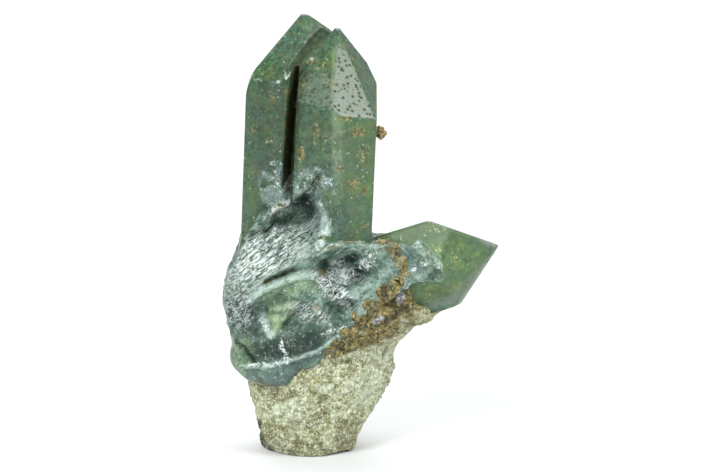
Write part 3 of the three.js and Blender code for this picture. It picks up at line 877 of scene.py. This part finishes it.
def broken_color(f):
    """The paler, fresher quartz of the break, with dark clear parts, painted shade in hollows and
    painted white glints.
    """
    cloud = f.noise(1.8, 5, 0.7)
    streaked, glint = f.mask("streaked"), f.mask("glint")
    leaning = f.node("ShaderNodeVectorRotate", {"rotation_type": "Y_AXIS"}, {
        "Vector": f.place, "Angle": math.radians(LEDGE_STREAKS),
    })
    fibre = f.noise(0.8, 5, 0.75, stretch=(0.5, 1, 1.8), warp=0.5, place=leaning)
    streak = f.noise(0.55, 5, 0.8, stretch=(0.3, 1, 1.8), place=leaning).step(0.49, 0.54)
    gap = f.noise(0.5, 5, 0.8, stretch=(0.3, 1, 2), place=leaning).step(0.51, 0.57)
    fine = (f.noise(0.6, 4, 0.75, warp=0.8) + glint * 0.14).step(0.6, 0.64)
    return f.layers(
        BREAK_TEAL,
        (cloud.step(0.42, 0.62) * 0.8, PALE_BREAK),
        (f.mask("slate") * 0.85, SLATE),
        (f.mask("mossy") * 0.8, LOBE_GREEN),
        (f.noise(0.7, 5, 0.8).step(0.48, 0.6) * 0.55, DARK_BREAK),
        # partly dark clear quartz, partly painted shade in hollows and creases
        (f.mask("dark") * 0.95, DARK_BREAK),
        (f.mask("leafy") * f.noise(0.9, 3).step(0.2, 0.6), PALE_LEAF),
        (f.mask("pale") * fibre.step(0.4, 0.54), RIM),
        # painted glints along the streaks, with painted dark reflections between them
        (streaked * gap * 0.95, DARK_BREAK),
        (streaked * streak * 0.9, GLINT),
        (veins(f, 1.8, 0.016) * f.noise(1.2, 3).step(0.48, 0.62) * 0.35, GLINT),
        (fine * (cloud.step(0.4, 0.55) * 0.7 + glint), GLINT),
        (f.dots(0.8, 0.11, 0.3) * f.noise(2, 2).step(0.4, 0.6) * 0.9, GLINT),
    )


def quartz_finish():
    """Green quartz: glossy where it grew, rougher on the break and dull under crust and in painted
    shade.
    """
    f = Finish("green_quartz")
    broken = f.mask("broken")
    shade, frost_and_sheen, upright = f.mask("shade"), f.mask("frost_and_sheen"), f.mask("upright")
    brown = f.mix(f.noise(0.4, 2), BROWN_SPECK, OLIVE)
    color = f.layers(
        f.mix(broken, grown_color(f), broken_color(f)),
        (f.mask("stain") * f.noise(0.8, 3).step(0.38, 0.55) * 0.85, brown),
        (f.mask("clusters") * f.noise(0.55, 3, 0.7).step(0.46, 0.54) * 0.9, crust_color(f)),
        (f.mask("clear") * f.noise(1.2, 4, 0.7).step(0.35, 0.6) * 0.7, CLEAR_GREY),
        (shade * f.noise(0.8, 4, 0.7).step(0.1, 0.7), SHADED_MOSS),
        # painted shade in the growth slot
        (f.mask("groove"), GROOVE_SHADE),
        (f.mask("crusted") * 0.95, crust_color(f)),
    )
    growth_lines = f.noise(0.5, 2, stretch=(0.12, 0.12, 1)) * upright
    pits = f.noise(0.5, 3, 0.6) * (1 - broken)
    chips = f.noise(0.9, 4, 0.7, warp=1) * broken
    normal = f.bump(growth_lines, 0.02, 0.5)
    normal = f.bump(pits * 0.05 + chips * 0.3, 1, 0.8, over=normal)
    dull = frost_and_sheen * 0.15 + f.mask("crusted") * 0.5 + shade * 0.3
    shader = f.node("ShaderNodeBsdfPrincipled", {}, {
        "Base Color": color, "Roughness": f.noise(1.5, 2) * 0.15 + 0.38 - upright * 0.25 + dull,
        "IOR": 1.54, "Normal": normal, "Subsurface Weight": 0.1, "Subsurface Scale": 0.6 * MM,
        "Subsurface Radius": (0.6, 1, 0.7),
    })
    lightless = f.node("ShaderNodeBsdfPrincipled", {}, {
        "Base Color": color, "Roughness": 0.5, "IOR": 1.2, "Normal": normal,
    })
    lost = f.mask("dark") * broken * 0.8 + shade * 0.8 + frost_and_sheen * frost_pits(f) * 0.7
    return f.finish_with(f.node("ShaderNodeMixShader", {}, {0: lost, 1: shader, 2: lightless}))


quartz.data.materials.append(quartz_finish())
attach(quartz, "root")
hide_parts("green_quartz")

# Matrix rock. The tapered stump of pale granular rock that the quartz grew on, cut flat at its foot,
# with a brown-stained crust of grains in the seam under the side crystal.

STUMP_SECTIONS = (
    (0, (0.2, 0), (7.2, 6.2)), (2, (0, 0), (7.8, 6.8)),
    (5, (0.4, 0.1), (9, 7.6)), (8, (0.7, 0.2), (10.1, 8.2)),
    (11, (0.9, 0.3), (11.2, 8.7)), (14.5, (1.4, 0.4), (11.9, 9.3)),
    (17.5, (2.5, 0.6), (11.7, 9.7)), (20.5, (6.8, 0.2), (10.9, 9.6)),
    (23.5, (12.2, -1.2), (9.2, 8.4)), (26, (13, -2.4), (6, 7.2)),
    (28, (13.6, -4.6), (2.4, 4.4)),
)
BACK_LOBE = ((1, 5.2, 24), (10.5, 5, 9))
CRUST_LUMPS = (
    ((10.8, -7.6, 24.2), (3.6, 2.6, 3)), ((13.8, -7.4, 26.2), (3, 2.8, 3)),
    ((15.2, -7.8, 27.6), (1.7, 2, 1.7)), ((16.6, -6.4, 23.8), (3, 3, 2.2)),
    ((14.9, -7.6, 29.4), (1, 1.7, 1.3)), ((14.5, -7.5, 30.8), (0.9, 1.6, 1.3)),
    ((13.9, -7.2, 32.2), (1.1, 1.6, 1.2)), ((12.8, -6.9, 33.4), (1.5, 1.7, 1.2)),
    ((11.4, -6.7, 34.1), (1.5, 1.6, 0.9)), ((13.2, -10.3, 28.7), (1.5, 1.5, 1.3)),
    ((11.6, -9.8, 27.6), (1.8, 1.6, 1.6)), ((9.7, -8.9, 25.2), (1.9, 1.7, 1.6)),
    ((7.6, -9.0, 22.9), (1.8, 1.5, 1.5)), ((5.8, -9.1, 20.9), (1.6, 1.3, 1.2)),
)
ROCK_CELL = 0.26
ROCK_BOX = ((-12.5, -11.6, -0.6), (24.5, 12, 37))
GRAIN_SIZE = 0.8
GRAIN_SEED = 5


def stump(points):
    """Distance out of the stump, which is an oval at each level."""
    levels = [level for level, _, _ in STUMP_SECTIONS]
    x, y, z = points.T
    middle = [np.interp(z, levels, [m[k] for _, m, _ in STUMP_SECTIONS]) for k in range(2)]
    half = [np.interp(z, levels, [h[k] for _, _, h in STUMP_SECTIONS]) for k in range(2)]
    out = np.hypot((x - middle[0]) / half[0], (y - middle[1]) / half[1])
    return np.maximum((out - 1) * np.minimum(*half), np.maximum(-z, z - levels[-1]))


def grains(points, size, seed):
    """Rounded grains packed together: high in the middle of each and low in the gaps."""
    place = points / size
    cell = np.floor(place).astype(int)
    nearest = np.full(len(points), 9.0, np.float32)
    for step in np.ndindex(3, 3, 3):
        near = cell + step - 1
        i, j, k = (near % LATTICE).T
        far = (i + seed) % LATTICE
        shift = [lattice_values[i, j, k], lattice_values[j, k, far], lattice_values[k, far, j]]
        gap = np.linalg.norm(place - (near + 0.5 + 0.45 * np.stack(shift, -1)), axis=1)
        nearest = np.minimum(nearest, gap)
    return 0.55 - nearest


def rock_field(points):
    """Distance out of the whole rock, which leaves the quartz free and is flat at its foot."""
    rock = nearer(stump(points), ball(points, *BACK_LOBE), 1.0)
    contact = np.minimum(quartz_body(points), lumps(points, ROOT_LOBES))
    rock = np.maximum(rock, -contact - 0.3)
    rock = nearer(rock, lumps(points, CRUST_LUMPS), 0.5)
    near = np.abs(rock) < 1.5
    close = points[near]
    rock[near] -= 0.4 * waver(close, 4.0, 2, 11) + 0.26 * grains(close, GRAIN_SIZE, GRAIN_SEED)
    rock[near] -= 0.1 * waver(close, 0.5, 1, 12)
    return np.maximum(rock, -points[:, 2])


rock_points, rock_faces = largest_part(*surface(rock_field, *ROCK_BOX, ROCK_CELL))


ROCK_STAIN_SPOTS = ((1, (378, 333), (30, 11), 25), (1, (350, 345), (22, 8), 32))
ROCK_STAIN_LINES = ((0.8, 5, (297, 372), (312, 364), (330, 350), (350, 338)),)
CLEAN_SPOT = ((432, 314), (18, 9), 25)
# Painted shade in the crust's hollows by the grey grains and along the rock's foot.
ROCK_SHADE_SPOTS = (
    (0.6, (299, 441), (5, 6), 30), (0.7, (346, 361), (6, 3), -10), (1, (392, 298), (5, 8), -15),
    (1, (402, 308), (7, 6)), (0.9, (391, 316), (8, 4), 25),
)
ROCK_SHADE_LINES = (
    (1, 6, (258, 422), (260, 434), (264, 445), (270, 450)),
    (0.6, 4, (290, 452), (314, 458), (344, 454), (358, 447)),
)
MINT_SPOTS = (
    (1, (286, 412), (16, 12)), (1, (325, 389), (9, 5)), (1, (388, 362), (9, 14), -20),
    (1, (368, 386), (16, 18)), (0.7, (256, 388), (6, 12)),
)
OLIVE_SPOTS = (
    (1, (274, 436), (16, 14), -30), (1, (268, 395), (12, 9)), (1, (345, 435), (12, 20), 20),
    (0.7, (322, 410), (20, 12), 40), (0.8, (300, 445), (30, 6), -5),
)
GREY_SPOTS = ((1, (401, 297), (3.5, 6), -15, 0.4), (1, (378, 320), (6, 3), 30, 0.4))


def rock_masks(points):
    """Where on the rock each kind of grain is, from 0 to 1 at each vertex."""
    points = points.astype(np.float32)
    x, y, z = points.T
    ragged = waver(points, 1.6, 3, 4)
    seen = seen_at(x, y, z)
    front = 1 - smooth(y, -4, -2)
    crust = 1 - smooth(lumps(points, CRUST_LUMPS) - 1.2 * ragged, 0.2, 1.8)
    crust = crust * (1 - 0.8 * spot(seen, *CLEAN_SPOT))
    stained = marked(seen, ROCK_STAIN_SPOTS, ROCK_STAIN_LINES)
    return {
        "crust": np.maximum(crust, smooth(stained + 0.5 * ragged, 0.3, 0.9) * front),
        # painted shade in the crust's hollows and along the foot
        "rock_shade": marked(seen, ROCK_SHADE_SPOTS, ROCK_SHADE_LINES) * (1 - smooth(y, 2, 4)),
        "mint": smooth(marked(seen, MINT_SPOTS) + 0.5 * ragged, 0.2, 0.9) * front,
        "olive": smooth(marked(seen, OLIVE_SPOTS) + 0.5 * ragged, 0.2, 0.9) * front,
        # painted shade in the low gaps between the grains
        "gap": 1 - smooth(grains(points, GRAIN_SIZE, GRAIN_SEED), -0.3, 0.1),
        "grey": front * marked(seen, GREY_SPOTS),
    }


rock = make_mesh("granular_rock", rock_points, rock_faces, rock_masks(rock_points), sharp=70)

CREAM_GRAIN = (0.37, 0.39, 0.18)
PALE_GRAIN = (0.56, 0.62, 0.42)
WHITE_GRAIN = (0.82, 0.86, 0.7)
MINT_GRAIN = (0.52, 0.63, 0.46)
OCHRE_GRAIN = (0.24, 0.215, 0.055)
OLIVE_GRAIN = (0.09, 0.095, 0.026)
BROWN_GRAIN = (0.1, 0.07, 0.024)
GREY_GRAIN = (0.13, 0.12, 0.125)
# Painted highlight on the shiny grey grains.
HIGHLIGHT_GREY = (0.56, 0.55, 0.56)


def rock_finish():
    """Pale matt grains packed at random, with brown crust and painted shade over them."""
    f = Finish("granular_rock")
    patch = f.noise(1, 3, 0.7, warp=0.5)
    one_way = f.noise(0.42, 3, 0.75, stretch=(0.5, 1, 1.4), warp=0.8)
    other_way = f.noise(0.4, 3, 0.75, stretch=(1.5, 1, 0.5), warp=0.8)
    zone = f.noise(2.2, 4, 0.6) + f.mask("olive") * 0.14 - f.mask("mint") * 0.15
    ochre = one_way * 0.5 + patch * 0.25 + zone * 0.25
    white = other_way * 0.7 + (1 - patch) * 0.3
    olive = f.noise(0.34, 3, 0.75) * 0.7 + patch * 0.1 + zone * 0.2
    # grey grains with painted highlights
    shine = f.mix(f.noise(0.5, 3, 0.7).step(0.45, 0.55), GREY_GRAIN, HIGHLIGHT_GREY)
    color = f.layers(
        CREAM_GRAIN,
        (f.noise(0.4, 4, 0.7).step(0.44, 0.56), PALE_GRAIN),
        (f.mask("mint") * 0.5, MINT_GRAIN),
        (ochre.step(0.5, 0.54) * 0.9, OCHRE_GRAIN),
        (white.step(0.52, 0.56) * 0.9, WHITE_GRAIN),
        (olive.step(0.53, 0.56) * 0.9, OLIVE_GRAIN),
        (f.dots(0.55, 0.15, 0.4) * zone.step(0.45, 0.6) * 0.8, BROWN_GRAIN),
        (veins(f, 1.3, 0.02) * 0.5, WHITE_GRAIN),
        (f.mask("crust") * f.noise(0.7, 4, 0.8).step(0.25, 0.45), crust_color(f)),
        # painted shade in the crust's hollows and along the foot
        (f.mask("rock_shade") * f.noise(0.8, 4, 0.7).step(0.35, 0.55), CRUST_DARK),
        # painted shade in the low gaps between the grains
        (f.mask("gap") * 0.5, OLIVE_GRAIN),
        (f.mask("grey"), shine),
    )
    normal = f.bump(f.noise(0.35, 4, 0.75), 0.3, 1)
    shader = f.node("ShaderNodeBsdfPrincipled", {}, {
        "Base Color": color, "Roughness": f.mask("grey") * -0.5 + 0.7, "Normal": normal,
    })
    return f.finish_with(shader)


rock.data.materials.append(rock_finish())
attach(rock, "root")
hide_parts("matrix_rock")

# Clump of brown grains. Small angular grains of an iron-stained mineral that grew on the right edge
# of the front crystal and stand out from it.

CLUMP_MIDDLE = (11.0, -0.2, 50.7)
CLUMP_HALF = (0.85, 0.9, 1.15)
CLUMP_CORE = (0.75, 0.85, 1.0)
CLUMP_GRAINS = 26
CLUMP_BOX = ((9.3, -2.0, 48.8), (12.8, 1.8, 52.7))
CLUMP_CELL = 0.09
CLUMP_OCHRE = (0.42, 0.33, 0.12)
CLUMP_BROWN = (0.16, 0.11, 0.035)


def clump_grains():
    """Each grain as a small random block: its faces' normals and distances."""
    rng = np.random.default_rng(21)
    blocks = []
    for _ in range(CLUMP_GRAINS):
        way = unit(rng.normal(size=3))
        middle = np.array(CLUMP_MIDDLE) + way * CLUMP_HALF * rng.uniform(0.3, 0.9)
        normals = rng.normal(size=(24, 3))
        normals /= np.linalg.norm(normals, axis=1)[:, None]
        blocks.append((normals, normals @ middle + rng.uniform(0.26, 0.40)))
    return blocks


clump_blocks = clump_grains()


def clump_field(points):
    """Distance out of the clump: its core and all its grains."""
    clump = ball(points, CLUMP_MIDDLE, CLUMP_CORE)
    for faces in clump_blocks:
        clump = np.minimum(clump, convex(points, faces))
    return clump


clump_points, clump_faces = largest_part(*surface(clump_field, *CLUMP_BOX, CLUMP_CELL))
clump = make_mesh("brown_grains", clump_points, clump_faces, sharp=25)


def clump_finish():
    """Ochre and brown grains with a slight shine."""
    f = Finish("brown_grains")
    color = f.mix(f.noise(0.5, 2).step(0.4, 0.6), CLUMP_OCHRE, CLUMP_BROWN)
    return f.finish_with(f.node("ShaderNodeBsdfPrincipled", {}, {
        "Base Color": color, "Roughness": 0.35,
    }))


clump.data.materials.append(clump_finish())
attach(clump, "root")

# Light and floor. A pale matt floor, four soft lamps and an even white room, with the camera where
# the photograph was taken from.

FLOOR_GREY = (0.62, 0.635, 0.64)
FLOOR_SIZE = 4  # metres
ROOM_STRENGTH = 0.48


def floor():
    bpy.ops.mesh.primitive_plane_add(size=FLOOR_SIZE, location=(0, 0, 0))
    plane = bpy.context.object
    plane.name = "floor"
    f = Finish("pale_floor")
    plane.data.materials.append(f.finish_with(f.node("ShaderNodeBsdfPrincipled", {}, {
        "Base Color": FLOOR_GREY, "Roughness": 0.7,
    })))


def light(name, at, size, power, toward=(0.005, 0, 0.035)):
    """A white square lamp, placed and sized in metres, that shines toward a point."""
    data = bpy.data.lights.new(name, "AREA")
    data.shape = "SQUARE"
    data.size = size
    data.energy = power
    lamp = bpy.data.objects.new(name, data)
    lamp.location = at
    lamp.rotation_euler = (Vector(toward) - Vector(at)).to_track_quat("-Z", "Y").to_euler()
    bpy.context.scene.collection.objects.link(lamp)


floor()
light("key", (-0.3, -0.42, 0.5), 0.3, 4.6)
light("upper_right", (0.3, -0.19, 0.52), 0.13, 0.4)
light("right", (0.45, -0.2, 0.42), 0.28, 2.2)
light("overhead", (0, 0.7, 1.1), 1.4, 17, toward=(0, 0.5, 0))
world = bpy.data.worlds.new("white_room")
world.use_nodes = True
walls = world.node_tree.nodes["Background"].inputs
walls["Color"].default_value = (1, 1, 1, 1)
walls["Strength"].default_value = ROOM_STRENGTH
bpy.context.scene.world = world
bpy.context.scene.view_settings.view_transform = "Standard"

camera_data = bpy.data.cameras.new("camera")
camera_data.lens = LENS
camera_data.sensor_width = SENSOR_WIDTH
camera_data.clip_start = 0.01
camera = bpy.data.objects.new("camera", camera_data)
looked_at = Vector(CAMERA_TARGET) * MM
camera.location = looked_at + CAMERA_DISTANCE * MM * Vector(
    (0, -math.cos(CAMERA_RISE), math.sin(CAMERA_RISE))
)
camera.rotation_euler = (looked_at - camera.location).to_track_quat("-Z", "Y").to_euler()
bpy.context.scene.collection.objects.link(camera)
bpy.context.scene.camera = camera
